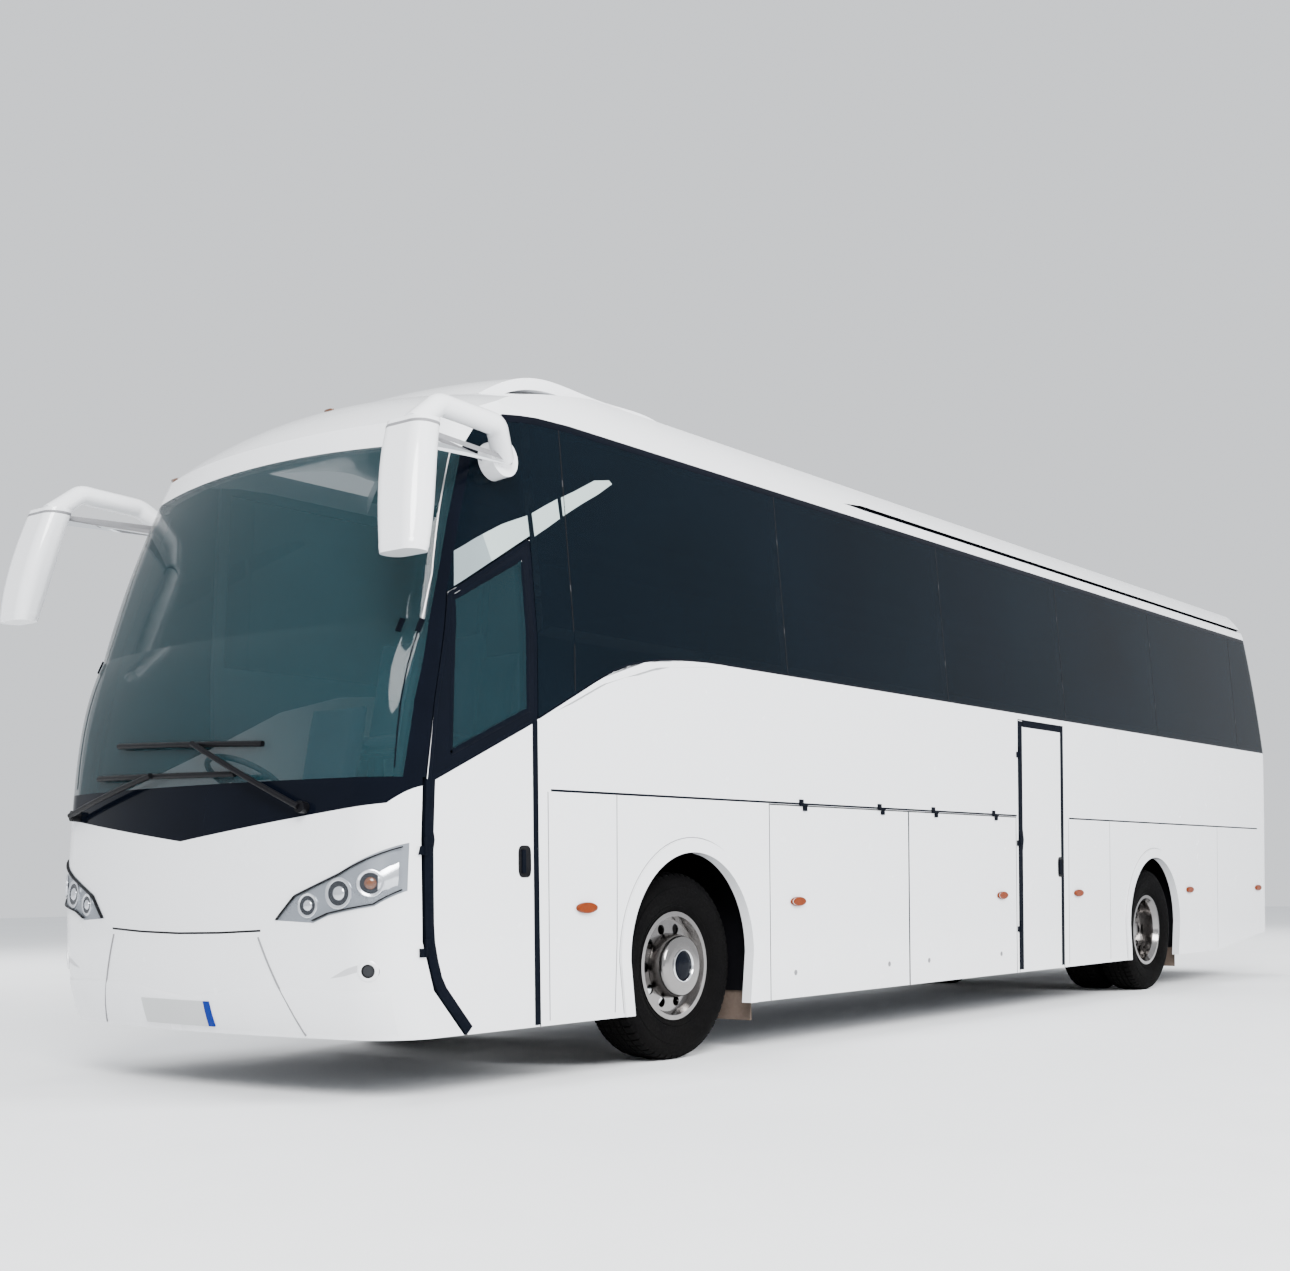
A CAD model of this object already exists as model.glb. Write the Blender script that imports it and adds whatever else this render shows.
"""Looks of a twelve-metre touring coach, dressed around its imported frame.

Every length is in metres. +X points forward, +Y to the coach's left and +Z up.
"""

import logging
import math
from dataclasses import dataclass, field
from enum import Enum
from functools import partial
from typing import Callable, Iterable, Sequence

import bmesh
import bpy
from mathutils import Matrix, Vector
from mathutils.bvhtree import BVHTree


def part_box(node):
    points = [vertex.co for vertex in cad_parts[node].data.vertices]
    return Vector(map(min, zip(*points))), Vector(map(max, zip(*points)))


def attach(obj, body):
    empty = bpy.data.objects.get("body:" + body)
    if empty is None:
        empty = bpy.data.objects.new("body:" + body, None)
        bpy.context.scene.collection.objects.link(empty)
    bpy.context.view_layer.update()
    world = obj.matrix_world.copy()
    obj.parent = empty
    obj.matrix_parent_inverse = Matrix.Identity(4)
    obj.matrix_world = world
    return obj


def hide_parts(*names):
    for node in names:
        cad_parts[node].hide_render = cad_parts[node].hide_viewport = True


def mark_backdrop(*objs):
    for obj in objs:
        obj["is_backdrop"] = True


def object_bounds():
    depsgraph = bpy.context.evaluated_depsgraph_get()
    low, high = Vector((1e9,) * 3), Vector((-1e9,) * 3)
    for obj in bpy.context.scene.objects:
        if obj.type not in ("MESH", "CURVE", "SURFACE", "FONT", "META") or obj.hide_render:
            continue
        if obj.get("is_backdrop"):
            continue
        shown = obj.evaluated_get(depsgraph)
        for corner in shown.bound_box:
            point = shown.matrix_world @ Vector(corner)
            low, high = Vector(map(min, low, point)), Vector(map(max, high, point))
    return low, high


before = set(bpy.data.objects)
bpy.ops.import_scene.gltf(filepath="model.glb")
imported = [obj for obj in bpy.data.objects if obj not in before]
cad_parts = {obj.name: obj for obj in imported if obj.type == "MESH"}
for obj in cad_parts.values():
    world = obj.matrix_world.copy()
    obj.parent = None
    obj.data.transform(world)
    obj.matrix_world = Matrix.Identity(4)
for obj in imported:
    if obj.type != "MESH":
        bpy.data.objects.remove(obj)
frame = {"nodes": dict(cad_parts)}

LOG = logging.getLogger("coach")
Colour = tuple[float, float, float]
Point2 = tuple[float, float]
Line = Sequence[Point2]
Hit = tuple[Vector, Vector]
Place = Callable[[float, float], Hit]
Socket = bpy.types.NodeSocket

FRONT_TYRE_LOW, FRONT_TYRE_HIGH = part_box("tyre_front_left")
REAR_TYRE_LOW, REAR_TYRE_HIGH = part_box("tyres_rear_left")
FRONT_AXLE_X = (FRONT_TYRE_LOW.x + FRONT_TYRE_HIGH.x) / 2
REAR_AXLE_X = (REAR_TYRE_LOW.x + REAR_TYRE_HIGH.x) / 2
WHEEL_Z = (FRONT_TYRE_LOW.z + FRONT_TYRE_HIGH.z) / 2
WHEELBASE = 6.7
BODY = "coach_body"
SIDES = ((1, "left"), (-1, "right"))
FLAPS = ((1, "left", 1), (1, "left", 2), (-1, "right", 1), (-1, "right", 2), (-1, "right", 3))
FLAP_NODES = tuple(f"luggage_flap_{label}_{index}" for _, label, index in FLAPS)
FAR = 4.0
CORE = 0.0005
PROUD, ROOT, FLAT = 0.0015, 0.003, 0.0008
SHARP = math.radians(32)
LENGTHWAYS, CROSSWAYS, UPWARDS = Vector((1, 0, 0)), Vector((0, 1, 0)), Vector((0, 0, 1))


def ahead(distance: float) -> float:
    """Place along the coach, from a distance ahead of the front axle."""
    return FRONT_AXLE_X + distance


# ---------------------------------------------------------------- finishes
def add_node(tree: bpy.types.NodeTree, kind: str, inputs: dict[str | int, object],
             **settings: str) -> bpy.types.Node:
    """Add a material node with its inputs set or linked.

    Args:
        tree: the material's nodes.
        kind: the node's type, without the start that every type shares.
        inputs: a plain value or a feeding socket for each input.
        settings: the node's own settings.

    Returns:
        The new node.
    """
    node = tree.nodes.new("ShaderNode" + kind)
    for name, setting in settings.items():
        setattr(node, name, setting)
    for name, value in inputs.items():
        if isinstance(value, Socket):
            tree.links.new(value, node.inputs[name])
        else:
            node.inputs[name].default_value = value
    return node


class Grain(Enum):
    """What the fine relief of a finish looks like."""

    PEEL = "peel"
    CAST = "cast"
    WEAVE = "weave"
    TURNED = "turned"
    RIBBED = "ribbed"


@dataclass(frozen=True)
class Finish:
    """One finish: its colour, gloss and relief, made into a procedural material.

    drift is how far the colour wanders, dust how much road dust lies low down,
    clear how much light passes straight through, and shine how strongly it mirrors.
    """

    name: str
    colour: Colour
    roughness: float = 0.5
    metallic: float = 0.0
    coat: float = 0.0
    sheen: float = 0.0
    drift: float = 0.06
    drift_scale: float = 2.0
    grain: Grain = Grain.CAST
    grain_scale: float = 300.0
    relief: float = 0.0
    dust: float = 0.0
    dust_top: float = 1.0
    clear: float = 0.0
    shine: float = 0.5
    dust_colour: Colour = (0.33, 0.28, 0.22)

    def material(self) -> bpy.types.Material:
        """The finish's material, made once and then shared.

        Returns:
            The Blender material of this name.
        """
        if found := bpy.data.materials.get(self.name):
            return found
        material = bpy.data.materials.new(self.name)
        material.use_nodes = True
        tree = material.node_tree
        tree.nodes.clear()
        place = tree.nodes.new("ShaderNodeTexCoord").outputs["Object"]
        dark = (max(0.0, c * (1 - self.drift)) for c in self.colour)
        light = (min(1.0, c * (1 + self.drift)) for c in self.colour)
        colour = self._mix(tree, self._noise(tree, place, self.drift_scale, 5.0), (*dark, 1), (*light, 1))
        if self.dust:
            colour = self._dusted(tree, place, colour)
        fine = self._noise(tree, place, self.drift_scale * 6, 3.0)
        gloss = self._range(tree, fine, (0.3, 0.7), (self.roughness * 0.82, min(1.0, self.roughness * 1.25)))
        relief = {"Normal": self._relief(tree, place)} if self.relief else {}
        shader = add_node(tree, "BsdfPrincipled", {
            "Metallic": self.metallic, "Coat Weight": self.coat, "Coat Roughness": 0.04,
            "Specular IOR Level": self.shine, "Sheen Weight": self.sheen, "Alpha": 1.0 - self.clear,
            "Base Color": colour, "Roughness": gloss, **relief,
        })
        add_node(tree, "OutputMaterial", {"Surface": shader.outputs["BSDF"]})
        return material

    @staticmethod
    def _noise(tree: bpy.types.NodeTree, place: Socket, scale: float, detail: float) -> Socket:
        """A noise value over the surface, at a scale per metre and with some finer layers."""
        return add_node(tree, "TexNoise", {"Scale": scale, "Detail": detail, "Vector": place}).outputs["Fac"]

    @staticmethod
    def _range(tree: bpy.types.NodeTree, value: Socket, source: Point2, target: Point2) -> Socket:
        """A value moved from one range to another."""
        ends = dict(zip(("From Min", "From Max", "To Min", "To Max"), (*source, *target)))
        return add_node(tree, "MapRange", {**ends, "Value": value}).outputs["Result"]

    @staticmethod
    def _mix(tree: bpy.types.NodeTree, share: Socket, first: object, second: object) -> Socket:
        """A blend of two colours by the share of the second."""
        inputs = {"Factor": share, "A": first, "B": second}
        return add_node(tree, "Mix", inputs, data_type="RGBA").outputs["Result"]

    @staticmethod
    def _combined(tree: bpy.types.NodeTree, first: Socket, second: Socket, how: str) -> Socket:
        """Two values worked into one."""
        return add_node(tree, "Math", {0: first, 1: second}, operation=how).outputs["Value"]

    def _dusted(self, tree: bpy.types.NodeTree, place: Socket, colour: Socket) -> Socket:
        """The colour with road dust that thickens towards the ground.

        Args:
            tree: the material's nodes.
            place: where on the object the dust is read.
            colour: the clean colour.

        Returns:
            The socket with the dusted colour.
        """
        height = add_node(tree, "SeparateXYZ", {"Vector": place}).outputs["Z"]
        low = self._range(tree, height, (0.1, self.dust_top), (self.dust, 0.0))
        patchy = self._range(tree, self._noise(tree, place, 5.0, 8.0), (0.35, 0.75), (0.2, 1.0))
        return self._mix(tree, self._combined(tree, low, patchy, "MULTIPLY"), colour, (*self.dust_colour, 1))

    def _relief(self, tree: bpy.types.NodeTree, place: Socket) -> Socket:
        """The finish's fine relief as a bumped normal.

        Args:
            tree: the material's nodes.
            place: where on the object the relief is read.

        Returns:
            The socket with the bumped normal.
        """
        if self.grain is Grain.WEAVE:
            warp, weft = self._wave(tree, place, "X"), self._wave(tree, place, "Z")
            height = self._combined(tree, warp, weft, "MAXIMUM")
        elif self.grain is Grain.RIBBED:
            height = self._wave(tree, place, "Y")
        elif self.grain is Grain.TURNED:
            stretched = add_node(tree, "Mapping", {"Scale": (1.0, 40.0, 1.0), "Vector": place})
            height = self._noise(tree, stretched.outputs["Vector"], self.grain_scale / 20, 3.0)
        else:
            height = self._noise(tree, place, self.grain_scale, 2.0 if self.grain is Grain.PEEL else 6.0)
        bump = add_node(tree, "Bump", {"Strength": self.relief, "Distance": 0.001, "Height": height})
        return bump.outputs["Normal"]

    def _wave(self, tree: bpy.types.NodeTree, place: Socket, axis: str) -> Socket:
        """The height of fine parallel threads or ribs across one axis."""
        inputs = {"Scale": self.grain_scale, "Distortion": 0.6, "Vector": place}
        return add_node(tree, "TexWave", inputs, bands_direction=axis).outputs["Fac"]


WHITE = Finish("coach_white", (0.83, 0.84, 0.86), 0.22, coat=0.9, drift=0.012, drift_scale=0.8,
               grain=Grain.PEEL, grain_scale=160.0, relief=0.03, dust=0.1, dust_top=0.7)
SHADED_WHITE = Finish("shaded_white", (0.5, 0.505, 0.52), 0.35, coat=0.5, drift=0.05, drift_scale=6.0)
SIDE_GLASS = Finish("side_glass_tint", (0.0015, 0.004, 0.007), 0.05, drift=0.5, drift_scale=0.7, clear=0.1,
                    shine=0.05)
FRONT_GLASS = Finish("windscreen_tint", (0.01, 0.034, 0.042), 0.04, drift=0.3, drift_scale=0.9, clear=0.52,
                     shine=0.28)
DOOR_GLASS = Finish("door_glass_tint", (0.006, 0.02, 0.026), 0.04, drift=0.3, drift_scale=0.9, clear=0.4,
                    shine=0.14)
BLACK_GLOSS = Finish("black_gloss", (0.002, 0.003, 0.006), 0.1, drift=0.3, drift_scale=3.0, shine=0.06)
BLACK_SATIN = Finish("black_satin", (0.003, 0.003, 0.004), 0.42, drift=0.2, drift_scale=12.0, shine=0.12,
                     grain_scale=500.0, relief=0.15)
SEAL = Finish("seal_rubber", (0.002, 0.003, 0.006), 0.62, shine=0.04, drift=0.2, drift_scale=9.0,
              grain_scale=420.0, relief=0.12)
SEAM = Finish("seam_shadow", (0.2, 0.2, 0.21), 0.6, drift=0.2, drift_scale=9.0)
TYRE = Finish("road_rubber", (0.0022, 0.0022, 0.0024), 0.85, drift=0.3, drift_scale=14.0, grain_scale=260.0,
              relief=0.35, dust=0.006, dust_top=1.4, shine=0.04)
MUD_RUBBER = Finish("mud_flap_rubber", (0.075, 0.05, 0.038), 0.85, drift=0.25, drift_scale=8.0,
                    grain=Grain.RIBBED, grain_scale=40.0, relief=0.4, dust=0.2)
ALLOY = Finish("polished_alloy", (0.27, 0.26, 0.255), 0.15, metallic=1.0, drift=0.1, drift_scale=20.0,
               grain=Grain.TURNED, grain_scale=500.0, relief=0.1, dust=0.06)
NUT_STEEL = Finish("plated_steel", (0.3, 0.29, 0.285), 0.28, metallic=1.0, drift=0.15, drift_scale=60.0,
                   grain_scale=600.0, relief=0.15)
CHROME = Finish("bright_chrome", (0.8, 0.81, 0.83), 0.07, metallic=1.0, drift=0.04, drift_scale=30.0)
LAMP_TRAY = Finish("lamp_silver", (0.25, 0.27, 0.3), 0.3, metallic=0.6, drift=0.06, drift_scale=2.0)
LAMP_COVER = Finish("lamp_cover", (0.2, 0.22, 0.25), 0.04, drift=0.03, drift_scale=20.0, clear=0.93,
                    shine=0.45)
LAMP_BALL = Finish("lamp_glass", (0.012, 0.013, 0.016), 0.08, coat=0.15, shine=0.2, drift=0.25,
                   drift_scale=60.0)
LAMP_DISH = Finish("lamp_dish", (0.66, 0.68, 0.72), 0.18, metallic=0.85, drift=0.08, drift_scale=60.0)
AMBER = Finish("amber_lens", (0.15, 0.022, 0.0), 0.3, drift=0.25, drift_scale=60.0, grain=Grain.WEAVE,
               grain_scale=55.0, relief=0.5, shine=0.16)
AMBER_GLASS = Finish("amber_lamp_glass", (0.11, 0.04, 0.018), 0.05, coat=0.3, drift=0.2, drift_scale=60.0)
SMOKED_LENS = Finish("smoked_lens", (0.1, 0.035, 0.012), 0.12, coat=1.0, drift=0.2, drift_scale=80.0)
RED = Finish("red_lens", (0.3, 0.004, 0.004), 0.15, coat=0.25, shine=0.2, drift=0.2, drift_scale=60.0,
             grain=Grain.WEAVE, grain_scale=45.0, relief=0.5)
FRAME_PAINT = Finish("chassis_black", (0.02, 0.02, 0.022), 0.6, drift=0.35, drift_scale=4.0,
                     grain_scale=180.0, relief=0.4, dust=0.55, dust_top=1.3)
CAST_IRON = Finish("cast_iron", (0.16, 0.155, 0.15), 0.65, metallic=0.5, drift=0.3, drift_scale=6.0,
                   grain_scale=220.0, relief=0.6)
FLOOR_GREY = Finish("floor_lining", (0.17, 0.175, 0.19), 0.7, drift=0.2, drift_scale=3.0, grain_scale=240.0,
                    relief=0.3)
TRIM_GREY = Finish("cabin_trim", (0.1, 0.115, 0.13), 0.55, drift=0.15, drift_scale=4.0, grain_scale=320.0,
                   relief=0.35)
FABRIC = Finish("seat_cloth", (0.075, 0.125, 0.19), 0.9, sheen=0.35, drift=0.3, drift_scale=45.0,
                grain=Grain.WEAVE, grain_scale=160.0, relief=0.8)
MIRROR_GLASS = Finish("mirror_glass", (0.86, 0.88, 0.9), 0.02, metallic=1.0, drift=0.02, drift_scale=3.0)
PALE_STRIPE = Finish("pale_stripe", (0.34, 0.41, 0.4), 0.14, coat=0.3, drift=0.1, drift_scale=2.5, shine=0.2)
DIM_STRIPE = Finish("dim_stripe", (0.19, 0.235, 0.245), 0.14, coat=0.3, drift=0.1, drift_scale=2.5, shine=0.2)
PLATE_WHITE = Finish("blank_plate", (0.46, 0.47, 0.47), 0.35, coat=0.4, drift=0.05, drift_scale=12.0,
                     grain_scale=700.0, relief=0.08)
PLATE_BLUE = Finish("plate_blue", (0.0, 0.016, 0.19), 0.45, shine=0.1, drift=0.08, drift_scale=12.0)

NODE_FINISHES: dict[str, Finish] = {node: finish for finish, nodes in (
    (WHITE, (
        "front_mask", "bumper_centre", "roof_shell", "roof_fairing", "roof_cove_left", "roof_cove_right",
        "side_wall_left", "side_wall_right", "rear_wall", "engine_lid", "door_front", "door_mid",
        "mirror_left", "mirror_right", *FLAP_NODES,
    )),
    (SIDE_GLASS, ("side_glass_left", "side_glass_right", "rear_window")),
    (FRONT_GLASS, ("windscreen",)),
    (DOOR_GLASS, ("door_front_glass",)),
    (BLACK_GLOSS, ("front_posts", "front_cowl")),
    (BLACK_SATIN, ("wipers", "wheel_houses")),
    (TRIM_GREY, ("dashboard", "steering_wheel", "window_frames")),
    (LAMP_TRAY, ("headlamps",)),
    (LAMP_BALL, ("fog_lamps",)),
    (AMBER, ("marker_lamps",)),
    (RED, ("tail_lamps",)),
    (FRAME_PAINT, ("chassis_rails", "crossmembers", "bulkheads", "front_axle", "rear_axle", "knuckle_left",
                   "knuckle_right")),
    (CAST_IRON, ("engine_block",)),
    (FLOOR_GREY, ("floor_deck", "bay_floor", "entry_steps", "mid_steps")),
    (ALLOY, ("rim_front_left", "rim_front_right", "rims_rear_left", "rims_rear_right")),
    (TYRE, ("tyre_front_left", "tyre_front_right", "tyres_rear_left", "tyres_rear_right")),
    (MUD_RUBBER, ("mud_flaps",)),
    (FABRIC, ("passenger_seats", "driver_seat")),
) for node in nodes}


# ---------------------------------------------------------------- shared makers
@dataclass
class Shape:
    """Points and faces that grow piece by piece into one mesh."""

    points: list[Vector] = field(default_factory=list)
    faces: list[tuple[int, ...]] = field(default_factory=list)

    def add(self, points: Iterable[Vector], faces: Iterable[Sequence[int]]) -> None:
        """Append points and the faces that join them.

        Args:
            points: the new points.
            faces: the new faces, as places in the new points.
        """
        base = len(self.points)
        self.points.extend(Vector(p) for p in points)
        self.faces.extend(tuple(base + i for i in face) for face in faces)

    def grid(self, rows: Sequence[Sequence[Vector]], looped: bool = False, capped: bool = False) -> None:
        """Append a tube of points.

        Args:
            rows: equal rings of points, one after another.
            looped: whether the last ring meets the first.
            capped: whether the first and last rings are filled.
        """
        wide, deep = len(rows[0]), len(rows)
        faces: list[tuple[int, ...]] = []
        for r in range(deep if looped else deep - 1):
            s = (r + 1) % deep
            for c in range(wide):
                d = (c + 1) % wide
                faces.append((r * wide + c, r * wide + d, s * wide + d, s * wide + c))
        if capped:
            faces.append(tuple(reversed(range(wide))))
            faces.append(tuple((deep - 1) * wide + c for c in range(wide)))
        self.add([p for row in rows for p in row], faces)

    def slab(self, face: Sequence[Sequence[Vector]], back: Sequence[Sequence[Vector]]) -> None:
        """Append a closed sheet between a front grid and a back grid of the same size."""
        self.grid([[*f, *reversed(b)] for f, b in zip(face, back)], capped=True)

    def turned(self, outline: Line, hit: Hit, steps: int = 32) -> None:
        """Append a closed solid turned about an axis.

        Args:
            outline: a closed outline as distances along the axis and radii.
            hit: a point on the axis, and the axis direction.
            steps: how many steps make a turn.
        """
        centre, axis = hit
        side = axis.orthogonal().normalized()
        up = axis.cross(side).normalized()
        rows = []
        for step in range(steps):
            angle = math.tau * step / steps
            out = side * math.cos(angle) + up * math.sin(angle)
            rows.append([centre + axis * along + out * radius for along, radius in outline])
        self.grid(rows, looped=True)

    def button(self, outline: Line, hit: Hit, across: Vector, up: Vector, steps: int) -> None:
        """Append a flat oval button.

        Args:
            outline: shares of its full size with heights off the surface, from back to front.
            hit: its middle, and the way it looks.
            across: its half width, as a vector.
            up: its half height, as a vector.
            steps: how many steps make a turn.
        """
        centre, out = hit
        angles = [math.tau * step / steps for step in range(steps)]
        self.grid([
            [centre + across * share * math.cos(a) + up * share * math.sin(a) + out * off for a in angles]
            for share, off in outline
        ], capped=True)

    def box(self, low: Sequence[float], high: Sequence[float]) -> None:
        """Append a plain box.

        Args:
            low: its lowest corner.
            high: its highest corner.
        """
        xs, ys, zs = zip(low, high)
        corners = [Vector((x, y, z)) for x in xs for y in ys for z in zs]
        self.add(corners, ((0, 1, 3, 2), (4, 6, 7, 5), (0, 4, 5, 1), (2, 3, 7, 6), (0, 2, 6, 4), (1, 5, 7, 3)))


@dataclass
class Maker:
    """A sub-assembly that makes its pieces and keeps them."""

    pieces: list[bpy.types.Object] = field(default_factory=list)

    def build(self) -> None:
        """Make every piece of the sub-assembly."""
        raise NotImplementedError

    def make(self, name: str, shape: Shape, finish: Finish, body: str = BODY,
             slot: str | None = None) -> bpy.types.Object:
        """Make a finished piece that rides on a body.

        Args:
            name: the piece's name.
            shape: its points and faces.
            finish: what it is finished in.
            body: the body that carries it.
            slot: the record's material slot that it takes its finish from.

        Returns:
            The new object.
        """
        mesh = bpy.data.meshes.new(name)
        mesh.from_pydata([tuple(p) for p in shape.points], [], shape.faces)
        work = bmesh.new()
        work.from_mesh(mesh)
        bmesh.ops.remove_doubles(work, verts=work.verts, dist=1e-6)
        bmesh.ops.recalc_face_normals(work, faces=work.faces)
        for face in work.faces:
            face.smooth = True
        for edge in work.edges:
            edge.smooth = len(edge.link_faces) == 2 and edge.calc_face_angle(0) < SHARP
        work.to_mesh(mesh)
        work.free()
        mesh.materials.append(finish.material())
        piece = bpy.data.objects.new(name, mesh)
        bpy.context.scene.collection.objects.link(piece)
        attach(piece, body)
        LOG.info("%s: %d faces on %s", name, len(mesh.polygons), body)
        self.pieces.append(piece)
        return piece


class Skin:
    """The outer surface of some CAD nodes, to lay trim on."""

    NUDGES = (0.0, 0.0004, -0.0004, 0.0015, -0.0015)
    GLANCING = 0.05
    SIDE_Y, END_X = 1.26, 6.0

    def __init__(self, *nodes: str) -> None:
        """Gather the nodes' faces into one searchable surface.

        Args:
            nodes: the names of the nodes.
        """
        points: list[Vector] = []
        faces: list[list[int]] = []
        for node in nodes:
            mesh = frame["nodes"][node].data
            base = len(points)
            points.extend(v.co.copy() for v in mesh.vertices)
            faces.extend([base + i for i in p.vertices] for p in mesh.polygons)
        self.tree = BVHTree.FromPolygons(points, faces)

    def _hit(self, start: Vector, way: Vector, reach: float) -> Hit:
        """Where a ray first meets the surface, or the nearest place where it just misses.

        Args:
            start: where the ray starts.
            way: the ray's direction.
            reach: about how far off the surface is.

        Returns:
            The place, and the surface's outward direction there.
        """
        sideways = way.orthogonal().normalized()
        for nudge in self.NUDGES:
            aside = start + sideways * nudge + way.cross(sideways) * nudge * 0.7
            spot, normal, _, _ = self.tree.ray_cast(aside, way)
            if spot is not None and abs(normal.dot(way)) > self.GLANCING:
                break
        else:
            spot, normal, _, _ = self.tree.find_nearest(start + way * reach)
        return spot, (normal if normal.dot(way) < 0 else -normal)

    def side(self, x: float, z: float, way: int = 1) -> Hit:
        """The place on the left (1) or right (-1) side at a length and a height."""
        return self._hit(Vector((x, way * FAR, z)), Vector((0, -way, 0)), FAR - self.SIDE_Y)

    def flank(self, way: int) -> Place:
        """A finder of places on one side, from distances ahead of the front axle and heights."""
        return lambda distance, z: self.side(ahead(distance), z, way)

    def nose(self, y: float, z: float) -> Hit:
        """The place on the nose at a side and a height."""
        return self._hit(Vector((2 * FAR, y, z)), Vector((-1, 0, 0)), 2 * FAR - self.END_X)

    def half_nose(self, way: int) -> Place:
        """A finder of places on the nose's left (1) or right (-1) half."""
        return lambda y, z: self.nose(y * way, z)

    def tail(self, y: float, z: float) -> Hit:
        """The place on the tail at a side and a height."""
        return self._hit(Vector((-2 * FAR, y, z)), Vector((1, 0, 0)), 2 * FAR - self.END_X)


def blend(first: Point2, second: Point2, share: float) -> Point2:
    """The point at a share of the way from one point to another."""
    return first[0] + (second[0] - first[0]) * share, first[1] + (second[1] - first[1]) * share


def spread(points: Line, step: float = 0.05) -> list[Point2]:
    """Points along a run of straight lines, no further apart than a step.

    Args:
        points: the line's corners.
        step: the largest distance between two points.

    Returns:
        The corners with points between them.
    """
    run: list[Point2] = []
    for first, second in zip(points[:-1], points[1:]):
        count = max(1, math.ceil(math.dist(first, second) / step))
        run.extend(blend(first, second, i / count) for i in range(count))
    return [*run, points[-1]]


def along(points: Line, share: float) -> Point2:
    """The point at a share of the way along a run of straight lines.

    Args:
        points: the line's corners.
        share: how far along it, from 0 to 1.

    Returns:
        The point.
    """
    lengths = [math.dist(a, b) for a, b in zip(points[:-1], points[1:])]
    left = share * sum(lengths)
    for first, second, length in zip(points[:-1], points[1:], lengths):
        if left <= length + 1e-9:
            return blend(first, second, left / length)
        left -= length
    return points[-1]


def between(place: Place, low: Line, high: Line) -> Place:
    """A finder of places on the band between two lines, at two shares from 0 to 1."""
    return lambda c, r: place(*blend(along(low, c), along(high, c), r))


def scaled(form: Line, radius: float) -> list[Point2]:
    """An outline for turning, from distances along the axis and shares of a radius."""
    return [(off, max(CORE, radius * share)) for off, share in form]


def raised(hits: Iterable[Hit], height: float) -> list[Vector]:
    """Points that stand off a surface by a height."""
    return [spot + normal * height for spot, normal in hits]


def lay_strip(shape: Shape, hits: Sequence[Hit], half: float, proud: float = PROUD,
              root: float = ROOT) -> None:
    """Append a flat strip that follows a surface.

    Args:
        shape: the shape that takes the strip.
        hits: places on the surface along the strip's middle.
        half: half the strip's width.
        proud: how far it stands off the surface.
        root: how far its back lies under the surface.
    """
    rows = []
    for i, (spot, normal) in enumerate(hits):
        before, after = hits[max(0, i - 1)][0], hits[min(len(hits) - 1, i + 1)][0]
        out = normal.cross((after - before).normalized()).normalized() * half
        rows.append([
            spot + out + normal * proud * 0.4, spot + out * 0.8 + normal * proud,
            spot - out * 0.8 + normal * proud, spot - out + normal * proud * 0.4,
            spot - out - normal * root, spot + out - normal * root,
        ])
    shape.grid(rows, capped=True)


def lay_line(shape: Shape, place: Place, line: Line, half: float, proud: float = PROUD, root: float = ROOT,
             step: float = 0.05) -> None:
    """Append a strip over a run of straight lines, found on the surface every step or less."""
    lay_strip(shape, [place(*point) for point in spread(line, step)], half, proud, root)


def lay_patch(shape: Shape, place: Place, columns: int, rows: int, proud: float,
              root: float = ROOT) -> None:
    """Append a patch that follows a surface.

    Args:
        shape: the shape that takes the patch.
        place: the surface place for two shares from 0 to 1.
        columns: how many cells it is wide.
        rows: how many cells it is high.
        proud: how far its face stands off the surface.
        root: how far its back lies under the surface.
    """
    hits = [[place(c / columns, r / rows) for c in range(columns + 1)] for r in range(rows + 1)]
    shape.slab([raised(row, proud) for row in hits], [raised(row, -root) for row in hits])


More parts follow.
